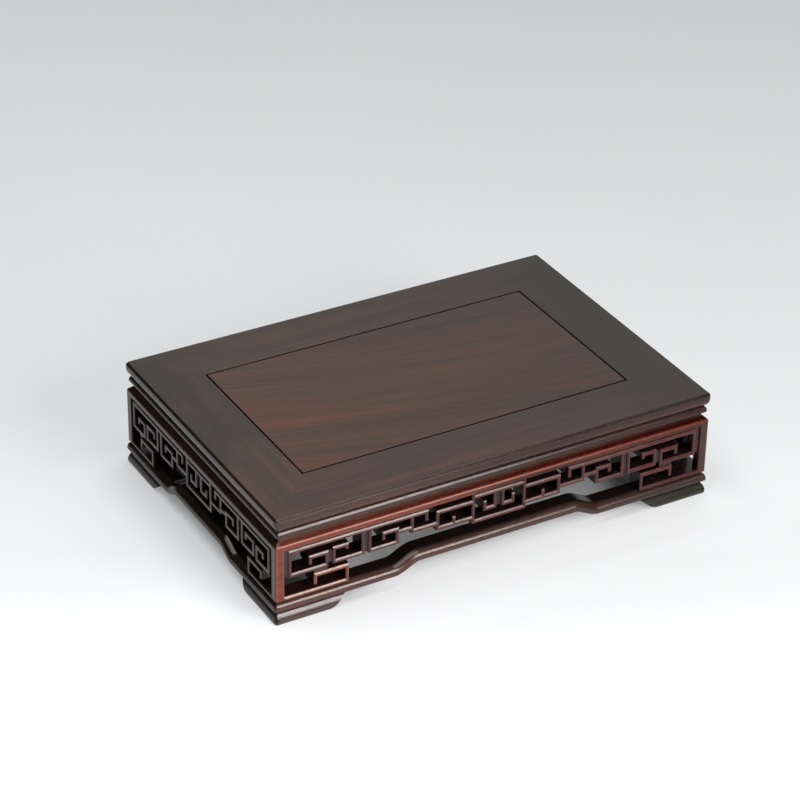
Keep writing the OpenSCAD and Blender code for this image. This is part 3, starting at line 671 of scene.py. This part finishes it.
# ---------------------------------------------------------------- key fret
# Corner points of each stroke of bar: distance from the end of the board, height.
LONG_FRET = [
    [(66.8, 28.4), (66.8, 31.8), (6.4, 31.8), (6.4, 21.1), (22.5, 21.1), (22.5, 26.8), (15.3, 26.8), (15.3, 24.4)],
    [(38.4, 31.8), (38.4, 21.6), (25.6, 21.6), (25.6, 27.7), (31.3, 27.7), (31.3, 26.5)],
    [(4.0, 10.95), (31.5, 10.95), (31.5, 17.9), (17.5, 17.9), (17.5, 14.4)],
    [(41.4, 31.8), (41.4, 21.6), (53.6, 21.6), (53.6, 27.6), (47.6, 27.6), (47.6, 25.4)],
    [(53.6, 26.3), (60.3, 26.3)],
    [(60.3, 31.8), (60.3, 24.7), (71.8, 24.7)],
    [(88.0, 29.7), (71.8, 29.7), (71.8, 22.3), (88.0, 22.3)],
    [(79.2, 22.3), (79.2, 24.8)],
    [(88.0, 34.0), (88.0, 20.3), (100.0, 20.3)],
    [(100.0, 31.8), (88.0, 31.8)],
    [(98.0, 31.8), (98.0, 24.8), (93.3, 24.8), (93.3, 27.7)],
]
LONG_WEBS = [(17.0, 17.6, 22.8, 21.4, 0.85), (3.4, 20.6, 6.2, 33.9, 0.85), (5.8, 32.2, 67.4, 33.9, 0.85), (22.6, 21.3, 25.5, 27.0, 0.9), (38.6, 21.2, 41.2, 32.3, 0.9), (87.4, 32.2, 100.2, 33.9, 0.85), (97.4, 24.4, 100.2, 31.6, 1.0)]
SHORT_FRET = [
    [(52.3, 28.8), (52.3, 31.7), (6.4, 31.7), (6.4, 21.0), (16.6, 21.0), (16.6, 26.8), (11.3, 26.8), (11.3, 25.0)],
    [(29.0, 31.7), (29.0, 21.5), (19.4, 21.5), (19.4, 27.5), (25.8, 27.5), (25.8, 25.6)],
    [(4.0, 10.95), (23.7, 10.95), (23.7, 17.4), (13.1, 17.4), (13.1, 14.8)],
    [(32.5, 31.7), (32.5, 21.1), (42.7, 21.1), (42.7, 27.4), (36.8, 27.4), (36.8, 25.4)],
    [(42.7, 26.1), (47.6, 26.1)],
    [(47.6, 31.7), (47.6, 24.6), (56.6, 24.6)],
    [(56.6, 34.0), (56.6, 20.2), (67.2, 20.2)],
    [(67.2, 31.7), (56.6, 31.7)],
    [(65.0, 31.7), (65.0, 24.6), (60.4, 24.6), (60.4, 26.8)],
]
SHORT_WEBS = [(12.4, 17.1, 17.2, 21.3, 0.85), (3.4, 20.5, 6.2, 33.9), (5.8, 32.1, 52.9, 33.9, 0.85), (16.8, 21.2, 19.2, 27.0), (29.2, 21.2, 32.3, 32.2), (56.0, 32.1, 67.4, 33.9, 0.85), (64.4, 24.1, 67.4, 31.5)]
BAR_W, BAR_H, BAR_DROP = 1.5, 1.75, 0.3


def region_loops(rects):
    """Outlines of a union of rectangles, each with the material on its left."""
    xs = sorted({round(v, 4) for r in rects for v in (r[0], r[2])})
    zs = sorted({round(v, 4) for r in rects for v in (r[1], r[3])})
    full = set()
    for i in range(len(xs) - 1):
        cx = (xs[i] + xs[i + 1]) / 2
        for k in range(len(zs) - 1):
            cz = (zs[k] + zs[k + 1]) / 2
            if any(r[0] < cx < r[2] and r[1] < cz < r[3] for r in rects):
                full.add((i, k))
    step = {}
    for i, k in full:
        if (i, k - 1) not in full:
            step.setdefault((i, k), []).append((i + 1, k))
        if (i + 1, k) not in full:
            step.setdefault((i + 1, k), []).append((i + 1, k + 1))
        if (i, k + 1) not in full:
            step.setdefault((i + 1, k + 1), []).append((i, k + 1))
        if (i - 1, k) not in full:
            step.setdefault((i, k + 1), []).append((i, k))
    loops = []
    while step:
        start = min(step)
        loop, at = [], start
        while True:
            loop.append(at)
            nxt = step[at].pop()
            if not step[at]:
                del step[at]
            at = nxt
            if at == start:
                break
        pts = [(xs[i], zs[k]) for i, k in loop]
        out = []
        n = len(pts)
        for m in range(n):
            a, b, c = pts[m - 1], pts[m], pts[(m + 1) % n]
            if (b[0] - a[0]) * (c[1] - b[1]) != (b[1] - a[1]) * (c[0] - b[0]):
                out.append(b)
        loops.append(out)
    return loops


def board_section(a, z):
    """How far the face of an apron lies behind its plane: the shoulder under the top, and the rounded corner."""
    u = max(0.0, z - 34.6)
    f = 1.18 - math.sqrt(1.18 ** 2 - min(u, 0.877) ** 2) + 1.11 * max(0.0, u - 0.877)
    r = 0.7
    if a >= f + r:
        return f
    if a <= f:
        return f + r
    return f + r - math.sqrt(max(0.0, r * r - (f + r - a) ** 2))


def apron(side, mat):
    long_side = side in ("front", "back")
    A, B = (AP_A, AP_B) if long_side else (AP_B, AP_A)
    fret, webs = (LONG_FRET, LONG_WEBS) if long_side else (SHORT_FRET, SHORT_WEBS)
    post = 3.9 if long_side else 3.8
    L = 2 * A
    half = [(0.0, BASE_Z, post, FRAME_Z), (0.0, FIELD_Z, A, FRAME_Z)]
    for p in fret:
        for (a0, z0), (a1, z1) in zip(p, p[1:]):
            low, high = min(z0, z1) - BAR_DROP - BAR_H / 2, max(z0, z1) - BAR_DROP + BAR_H / 2
            half.append((min(a0, a1) - BAR_W / 2, max(BASE_Z, low), max(a0, a1) + BAR_W / 2, high))
    # strokes stop at the middle, where their mirror image carries on
    half = [(r[0], r[1], min(r[2], A), r[3]) for r in half]
    rects = half + [(L - r[2], r[1], L - r[0], r[3]) for r in half]
    rects = [tuple(round(v, 3) for v in r) for r in rects]
    loops = region_loops(rects)

    bm = bmesh.new()
    d_back, t = 0.25, AP_T
    # a worn bar: a narrow crown, a slope to each side, then a small arris
    layers = [(0.70, 0.0), (0.62, 0.028), (0.50, 0.112), (0.38, 0.208), (0.26, 0.318), (0.14, 0.446), (0.07, 0.51), (0.02, 0.57), (0.0, 0.64)]
    if not long_side:
        layers = [(0.67, 0.0), (0.575, 0.006), (0.48, 0.023), (0.385, 0.053), (0.29, 0.093), (0.195, 0.146), (0.10, 0.21), (0.03, 0.30), (0.0, 0.42)]
    layers.append((0.0, 1.4))
    for i in range(3):
        a = math.pi / 2 * i / 2
        layers.append((d_back * (1 - math.cos(a)), t - d_back + d_back * math.sin(a)))

    def still(p, q):
        """Edges along the ends and the top of the board aren't eased."""
        if p[0] == q[0]:
            return p[0] < 1e-6 or p[0] > L - 1e-6
        return p[1] == q[1] and abs(p[1] - FRAME_Z) < 1e-6

    def share(p, q):
        """A bar slopes most on its upper side; the posts and the border are flatter than the bars."""
        if p[0] == q[0]:
            return 0.4 if min(abs(p[0] - post), abs(L - p[0] - post)) < 0.002 else (0.75 if long_side else 0.8)
        if abs(p[1] - FIELD_Z) < 0.002:
            return 0.4
        return (1.45 if q[0] < p[0] else 0.5) if long_side else 0.8

    sets = [[] for _ in layers]
    for loop in loops:
        n = len(loop)
        shifts = []
        for m in range(n):
            a, b, c = loop[m - 1], loop[m], loop[(m + 1) % n]
            v = [0.0, 0.0]
            for p, q in ((a, b), (b, c)):
                if not still(p, q):
                    dx, dz = q[0] - p[0], q[1] - p[1]
                    ln = math.hypot(dx, dz)
                    v[0] += -dz / ln * share(p, q)
                    v[1] += dx / ln * share(p, q)
            shifts.append(v)
        prev = None
        for li, (inset, depth) in enumerate(layers):
            row = [bm.verts.new((b[0] + inset * v[0], depth, b[1] + inset * v[1])) for b, v in zip(loop, shifts)]
            sets[li].append(row)
            if prev:
                for m in range(n):
                    bm.faces.new((prev[m], prev[(m + 1) % n], row[(m + 1) % n], row[m]))
            prev = row
    for rowset, normal in ((sets[0], (0, -1, 0)), (sets[-1], (0, 1, 0))):
        edges = []
        for row in rowset:
            for m in range(len(row)):
                edges.append(bm.edges.get((row[m], row[(m + 1) % len(row)])))
        bmesh.ops.triangle_fill(bm, use_beauty=True, use_dissolve=False, edges=edges, normal=normal)

    def slice_at(co, no):
        bmesh.ops.bisect_plane(bm, geom=bm.verts[:] + bm.edges[:] + bm.faces[:], dist=1e-5, plane_co=co, plane_no=no)

    for z in (34.3, 34.6, 34.72, 34.84, 34.96, 35.06, 35.16, 35.25, 35.34, 35.41, 35.48, 35.8, 36.6):
        slice_at((0, 0, z), (0, 0, 1))
    for a in (0.06, 0.16, 0.3, 0.48, 0.7, 0.95, 1.25, 1.6, 1.95, 2.3, 2.8):
        slice_at((a, 0, 0), (1, 0, 0))
        slice_at((L - a, 0, 0), (1, 0, 0))
    for v in bm.verts:
        a, s, z = min(v.co.x, L - v.co.x), v.co.y, v.co.z
        d = board_section(a, z)
        v.co.y = s + d * (1 - s / t) if s < t else s
    # mitres
    for co, no in (((0.03, 0, 0), (-1, 1, 0)), ((L - 0.03, 0, 0), (1, 1, 0))):
        res = bmesh.ops.bisect_plane(bm, geom=bm.verts[:] + bm.edges[:] + bm.faces[:], dist=1e-5, plane_co=co, plane_no=no, clear_outer=True)
        rim = [e for e in res["geom_cut"] if isinstance(e, bmesh.types.BMEdge) and e.is_valid and len(e.link_faces) == 1]
        bmesh.ops.triangle_fill(bm, use_beauty=True, use_dissolve=False, edges=rim)
    ob = from_bm("apron_" + side + "_board", bm)
    tools = []
    for w in webs:
        for m in (0, 1):
            a0, a1 = (w[0], w[2]) if not m else (L - w[2], L - w[0])
            if m and w[2] > A:
                continue
            if w[2] > A:
                a0, a1 = w[0], L - w[0]
            tools.append(box_obj("t", (a0, w[4] if len(w) > 4 else 0.95, w[1]), (a1, t - 0.4, w[3])))
    for tool in tools:
        boolean(ob, tool, "UNION")
    k = TURN[side]
    for v in ob.data.vertices:
        x, s, z = v.co
        v.co = turned((x - A, s - B, z), k)
    zone = {"front": ((-100, -70), (100, -50)), "back": ((-100, 50), (100, 70)), "left": ((-110, -68), (-90, 68)), "right": ((90, -68), (110, 68))}[side]
    cut_pegs(ob, top_pegs(PEG_R) + corner_pegs(PEG_R), *zone)
    # painted shade: points more than about 0.6 mm behind the face, inside the piercings and on the back of the board,
    # are marked for the near-black recess colour
    back_turn = (4 - k) % 4
    depth = []
    for v in ob.data.vertices:
        x, y, z = turned(tuple(v.co), back_turn)
        s = y + B - board_section(A - abs(x), z)
        depth.append(min(1.0, max(0.0, (s - 0.62) / 0.3)))
    at = ob.data.attributes.new("recess_shade", "FLOAT", "POINT")
    at.data.foreach_set("value", depth)
    finish_piece(ob, "apron_" + side, mat)


for side in ("front", "back", "left", "right"):
    apron(side, M[{"left": "fret_y", "right": "fret_y2"}.get(side, "fret_x")])


# ---------------------------------------------------------------- base rails
def base_rail(side, mat):
    long_side = side in ("front", "back")
    A, B = (BA_A, BA_B) if long_side else (BA_B, BA_A)
    s0, s1 = (52.9, 64.6) if long_side else (38.2, 48.3)
    rise = HUMP_LONG if long_side else HUMP_SHORT
    k = TURN[side]
    zc = FOOT_H + BASE_T / 2
    h = BASE_T / 2
    prof = [(BASE_D, h - 0.3), (BASE_D - 0.3, h)]
    prof.append((3.1, h))
    prof.append((2.9, h - 0.02))
    for i in range(13):
        a = math.radians(60 * (1 - i / 12))
        prof.append((3.2 * (1 - math.cos(a)), 0.7 - h + 3.2 * math.sin(a)))
    prof.append((0.0, 0.62 - h))
    for i in range(1, 6):
        a = math.pi / 2 * i / 5
        prof.append((0.62 * (1 - math.cos(a)), 0.62 - h - 0.62 * math.sin(a)))
    prof += [(BASE_D - 0.3, -h), (BASE_D, 0.3 - h)]
    rings = []

    def corner(theta, sx):
        ring = []
        for d, n in prof:
            r = max(1.1 - d, 0.2)
            cx, cy = -(A - d) + r, -(B - d) + r
            ring.append(turned((sx * (cx - r * math.cos(theta) + 0.03), cy - r * math.sin(theta), zc + n), k))
        return ring

    def bend(u, sx):
        a = s0 + u * (s1 - s0)
        e = u * u * (3 - 2 * u)
        m = rise * 6 * u * (1 - u) / (s1 - s0)
        ln = math.hypot(1, m)
        ring = []
        for d, n in prof:
            ring.append(turned((sx * (-A + a - n * m / ln), -B + d, zc + rise * e + n / ln), k))
        return ring

    thetas = [math.radians(t) for t in (45, 56, 68, 79, 90)]
    left = [corner(t, 1) for t in thetas] + [bend(u / 16, 1) for u in range(17)]
    right = [corner(t, -1) for t in thetas] + [bend(u / 16, -1) for u in range(17)]
    ob = loft("base_" + side, left + right[::-1])
    zone = {"front": ((-101, -70), (101, -50)), "back": ((-101, 50), (101, 70)), "left": ((-110, -68), (-90, 68)), "right": ((90, -68), (110, 68))}[side]
    cut_pegs(ob, foot_pegs(PEG_R) + corner_pegs(PEG_R), *zone)
    # painted shade: the top and inner parts of the rail, more than 2.3 mm in from its face, are marked for the
    # near-black recess colour
    depth = []
    for v in ob.data.vertices:
        d = min(BA_A - abs(v.co.x), BA_B - abs(v.co.y))
        depth.append(min(1.0, max(0.0, (d - 2.3) / 0.6)) if v.co.z > FOOT_H + 1.0 else 0.0)
    at = ob.data.attributes.new("recess_shade", "FLOAT", "POINT")
    at.data.foreach_set("value", depth)
    finish_piece(ob, "base_rail_" + side, mat)


for side in ("front", "back", "left", "right"):
    base_rail(side, M[{"left": "base_y", "right": "base_y2"}.get(side, "base_x")])


# ---------------------------------------------------------------- feet
def foot(name, sx, sy, mat):
    D = 10.0
    rows = []
    for z in (0.0, 0.09, 0.2, 0.35, 0.55, 0.8, 1.0, 1.3, 1.6, 2.0, 2.4, 2.7, 3.0, 3.25, 3.5, 3.7, 3.9, 4.08):
        rows.append((0.5 * max(0.0, 1 - z / 1.3) ** 1.5 + 7.27 - math.sqrt(56.25 - (z + 0.8) ** 2), z))
    # the swelling turns in to a neck under the rail
    a0 = math.asin(4.88 / 7.5)
    for i in range(1, 6):
        a = a0 + math.radians(40) * i / 5
        rows.append((7.27 - 7.5 * math.cos(a0) + 0.2 * (math.cos(a0) - math.cos(a)), 4.08 + 0.2 * (math.sin(a) - math.sin(a0))))
    rows += [(1.82, 4.3), (1.88, 5.0), (1.9, FOOT_H)]
    prof = rows + [(D, FOOT_H), (D, 0.0)]

    def reach(z):
        u = z / FOOT_H
        return 24.5 + 8.5 * u ** 0.75

    def shrunk(g):
        """The section drawn in by g, for the eased end of an arm."""
        return [(s + g if s < D / 2 else s - g, min(max(z, g), FOOT_H - g)) for s, z in prof]

    rings = []
    ends = [(0.25, 0.0), (0.073, 0.073), (0.0, 0.25)]
    for g, back_off in ends:
        rings.append([(back_off - reach(z), s, z) for s, z in shrunk(g)])
    for t in (90, 78, 65, 53, 45, 37, 25, 12, 0):
        th = math.radians(t)
        ring = []
        for s, z in prof:
            r = max(1.5 - s, 0.25)
            ring.append((-s - r + r * math.cos(th), s + r - r * math.sin(th), z))
        rings.append(ring)
    for g, back_off in reversed(ends):
        rings.append([(-s, reach(z) - back_off, z) for s, z in shrunk(g)])
    # the corner is at the origin here, the arms run to -X and +Y
    placed = [[(sx * (FO_A + x), sy * (FO_B - y), z) for x, y, z in ring] for ring in rings]
    ob = loft(name, placed)
    lo = (min(0, sx * 110), min(0, sy * 80))
    hi = (max(0, sx * 110), max(0, sy * 80))
    cut_pegs(ob, foot_pegs(PEG_R) + corner_pegs(PEG_R), lo, hi)
    # painted shade: the neck under the base rail, above 4.15 mm, is marked for the near-black recess colour
    at = ob.data.attributes.new("recess_shade", "FLOAT", "POINT")
    at.data.foreach_set("value", [min(1.0, max(0.0, (v.co.z - 4.15) / 0.15)) for v in ob.data.vertices])
    finish_piece(ob, name.replace("stand_", ""), mat)


for sx, xn in ((-1, "left"), (1, "right")):
    for sy, yn in ((-1, "front"), (1, "back")):
        foot("stand_foot_%s_%s" % (yn, xn), sx, sy, M["foot"])

# pegs and splines stay as the frame has them
for n in ("apron_top_pegs", "corner_pegs", "foot_pegs"):
    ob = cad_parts[n]
    ob.data.materials.clear()
    ob.data.materials.append(M["bamboo"])
for n in ("apron_corner_keys", "base_corner_keys"):
    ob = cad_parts[n]
    ob.data.materials.clear()
    ob.data.materials.append(M["inner"])

# ---------------------------------------------------------------- floor, light, camera
bm = bmesh.new()
N, SIZE = 24, 3.0
grid = [[bm.verts.new((-SIZE + 2 * SIZE * i / N, -SIZE + 2 * SIZE * j / N, 0.0)) for i in range(N + 1)] for j in range(N + 1)]
for j in range(N):
    for i in range(N):
        bm.faces.new((grid[j][i], grid[j][i + 1], grid[j + 1][i + 1], grid[j + 1][i]))
floor = from_bm("floor", bm)
fm = bpy.data.materials.new("pale_floor")
net = Net(nodes_of(fm))
tc = net.add("ShaderNodeTexCoord")
tone = net.noise(tc.outputs["Object"], 6.0, 3.0, 0.5)
sh = net.add("ShaderNodeBsdfPrincipled")
net.put(sh.inputs["Base Color"], net.ramp(tone, [(0.3, (0.444, 0.452, 0.458)), (0.7, (0.454, 0.462, 0.468))]))
# a lit sweep: the sheet glows, brighter towards the front
spot = net.add("ShaderNodeSeparateXYZ")
net.put(spot.inputs[0], tc.outputs["Object"])
run = net.math("ADD", net.math("MULTIPLY", spot.outputs[0], 0.5), net.math("MULTIPLY", spot.outputs[1], 0.866))
glow = [(-0.25, 0.73), (-0.15, 0.61), (-0.107, 0.390), (-0.085, 0.328), (-0.06, 0.290), (-0.033, 0.280), (0.044, 0.205), (0.131, 0.178), (0.25, 0.17), (0.5, 0.13)]
net.put(sh.inputs["Emission Color"], net.ramp(net.span(run, -0.25, 0.75), [(v + 0.25, (e * 0.985, e, e * 1.02)) for v, e in glow]))
# painted shadow: the glow stops where the stand covers the floor
over_x = net.span(net.math("ABSOLUTE", spot.outputs[0]), 0.086, 0.100, 0.0, 1.0, smooth=True)
over_y = net.span(net.math("ABSOLUTE", spot.outputs[1]), 0.053, 0.067, 0.0, 1.0, smooth=True)
# painted light and shade on the floor inside the stand: brighter in the middle, dark towards the ends
under = net.span(net.math("ABSOLUTE", spot.outputs[0]), 0.058, 0.076, 0.50, 0.05, smooth=True)
cover = net.math("MAXIMUM", over_x, over_y)
# painted light next to the stand: the glow is raised along the front and the left side, against its shadow
near = net.math("MULTIPLY", net.span(spot.outputs[1], -0.090, -0.067, 0.0, 0.42, smooth=True), net.span(net.math("ABSOLUTE", spot.outputs[0]), 0.095, 0.115, 1.0, 0.0, smooth=True))
near = net.math("MULTIPLY", net.math("MULTIPLY", near, net.span(spot.outputs[0], -0.1, 0.04, 0.30, 1.0)), net.math("LESS_THAN", spot.outputs[1], -0.055))
beside = net.math("MULTIPLY", net.span(spot.outputs[0], -0.150, -0.101, 0.0, 0.19, smooth=True), net.span(net.math("ABSOLUTE", spot.outputs[1]), 0.068, 0.085, 1.0, 0.0, smooth=True))
beside = net.math("MULTIPLY", net.math("MULTIPLY", beside, net.span(spot.outputs[0], -0.100, -0.080, 1.0, 0.0, smooth=True)), net.span(spot.outputs[1], -0.075, -0.025, 0.3, 1.0, smooth=True))
# a dimmer band a little in front of the stand
dip = net.math("MULTIPLY", net.span(spot.outputs[1], -0.108, -0.080, -0.24, 0.0), net.span(spot.outputs[1], -0.22, -0.14, 0.0, 1.0))
near = net.math("ADD", net.math("ADD", near, beside), dip)
cover = net.math("MULTIPLY", net.math("MULTIPLY", cover, net.math("ADD", near, 1.0)), net.span(spot.outputs[0], 0.0, 0.22, 1.0, 0.87))
# painted light on the floor just under the middle of the front base rail
spill = net.math("MULTIPLY", net.span(spot.outputs[1], -0.0695, -0.0625, 0.0, 0.70, smooth=True), net.span(spot.outputs[1], -0.0585, -0.047, 1.0, 0.0, smooth=True))
spill = net.math("MULTIPLY", spill, net.span(net.math("ABSOLUTE", spot.outputs[0]), 0.044, 0.068, 1.0, 0.0, smooth=True))
cover = net.math("ADD", cover, spill)
net.put(sh.inputs["Emission Strength"], net.math("ADD", cover, net.math("MULTIPLY", net.math("SUBTRACT", 1.0, net.math("MAXIMUM", over_x, over_y)), under)))
sh.inputs["Roughness"].default_value = 0.75
sh.inputs["Specular IOR Level"].default_value = 0.2
net.put(net.add("ShaderNodeOutputMaterial").inputs[0], sh.outputs[0])
floor.data.materials.append(fm)

world = bpy.data.worlds.new("studio")
bpy.context.scene.world = world
world.use_nodes = True
nt = world.node_tree
nt.nodes.clear()
net = Net(nt)
tc = net.add("ShaderNodeTexCoord")
direction = net.vmath("NORMALIZE", tc.outputs["Generated"])


def toward(vec):
    n = net.add("ShaderNodeVectorMath", operation="DOT_PRODUCT")
    net.put(n.inputs[0], direction)
    n.inputs[1].default_value = Vector(vec).normalized()
    return n.outputs["Value"]


sep = net.add("ShaderNodeSeparateXYZ")
net.put(sep.inputs[0], direction)
vx, vy, vz = sep.outputs
flat = net.math("SQRT", net.math("ADD", net.math("ADD", net.math("MULTIPLY", vx, vx), net.math("MULTIPLY", vy, vy)), 1e-6))
ahead = net.math("DIVIDE", net.math("ADD", net.math("MULTIPLY", vx, math.cos(math.radians(52))), net.math("MULTIPLY", vy, math.sin(math.radians(52)))), flat)
backdrop = net.math("MULTIPLY", net.span(ahead, 0.74, 0.95, 0.0, 0.60, smooth=True), net.span(vz, 0.80, 0.95, 1.0, 0.0, smooth=True))
lum = net.math("ADD", backdrop, 0.04)
bg = net.add("ShaderNodeBackground")
bg.inputs["Color"].default_value = (0.97, 1.0, 1.0, 1)
net.put(bg.inputs["Strength"], lum)
net.put(net.add("ShaderNodeOutputWorld").inputs[0], bg.outputs[0])


def softbox(name, at, aim, size, radiance, color=(1, 1, 1)):
    li = bpy.data.lights.new(name, "AREA")
    li.shape, li.size, li.size_y = "RECTANGLE", size[0], size[1]
    li.energy, li.color = radiance * math.pi * size[0] * size[1], color
    ob = bpy.data.objects.new(name, li)
    ob.location = at
    ob.rotation_euler = (Vector(aim) - Vector(at)).to_track_quat("-Z", "Y").to_euler()
    ob.visible_camera = False
    bpy.context.scene.collection.objects.link(ob)
    return ob


softbox("overhead", (-0.15, 0.05, 1.50), (0.0, 0.0, 0.0), (1.6, 1.6), 3.6)
softbox("front_panel", (0.2354, -0.7122, 0.43), (0.0, 0.0, 0.03), (0.30, 0.39), 13.0, (1.0, 0.96, 0.93))
softbox("front_side", (0.020, -0.760, 0.43), (0.0, 0.0, 0.03), (0.12, 0.36), 9.0, (1.0, 0.97, 0.95))

# the camera, from the photograph's own perspective
F_PX, AZ, EL, ROLL, DIST, OX, OY = 2894.298, -29.979, 31.333, 1.01, 1209.92, -6.609, 31.591
az, el, roll = (math.radians(v) for v in (AZ, EL, ROLL))
back = Vector((math.sin(az) * math.cos(el), -math.cos(az) * math.cos(el), math.sin(el)))
right = Vector((math.cos(az), math.sin(az), 0.0))
up = back.cross(right)
place = (back * DIST + right * OX + up * OY) * MM
r2 = right * math.cos(roll) + up * math.sin(roll)
u2 = -right * math.sin(roll) + up * math.cos(roll)
cam = bpy.data.cameras.new("camera")
cam.sensor_fit, cam.sensor_width, cam.sensor_height = "HORIZONTAL", 36.0, 36.0
cam.lens = F_PX * 36.0 / 800.0
cam.clip_start, cam.clip_end = 0.01, 50.0
cam_ob = bpy.data.objects.new("camera", cam)
cam_ob.matrix_world = Matrix(((r2.x, u2.x, back.x, place.x), (r2.y, u2.y, back.y, place.y), (r2.z, u2.z, back.z, place.z), (0, 0, 0, 1)))
bpy.context.scene.collection.objects.link(cam_ob)
bpy.context.scene.camera = cam_ob
bpy.context.scene.view_settings.view_transform = "Standard"

bpy.context.view_layer.update()
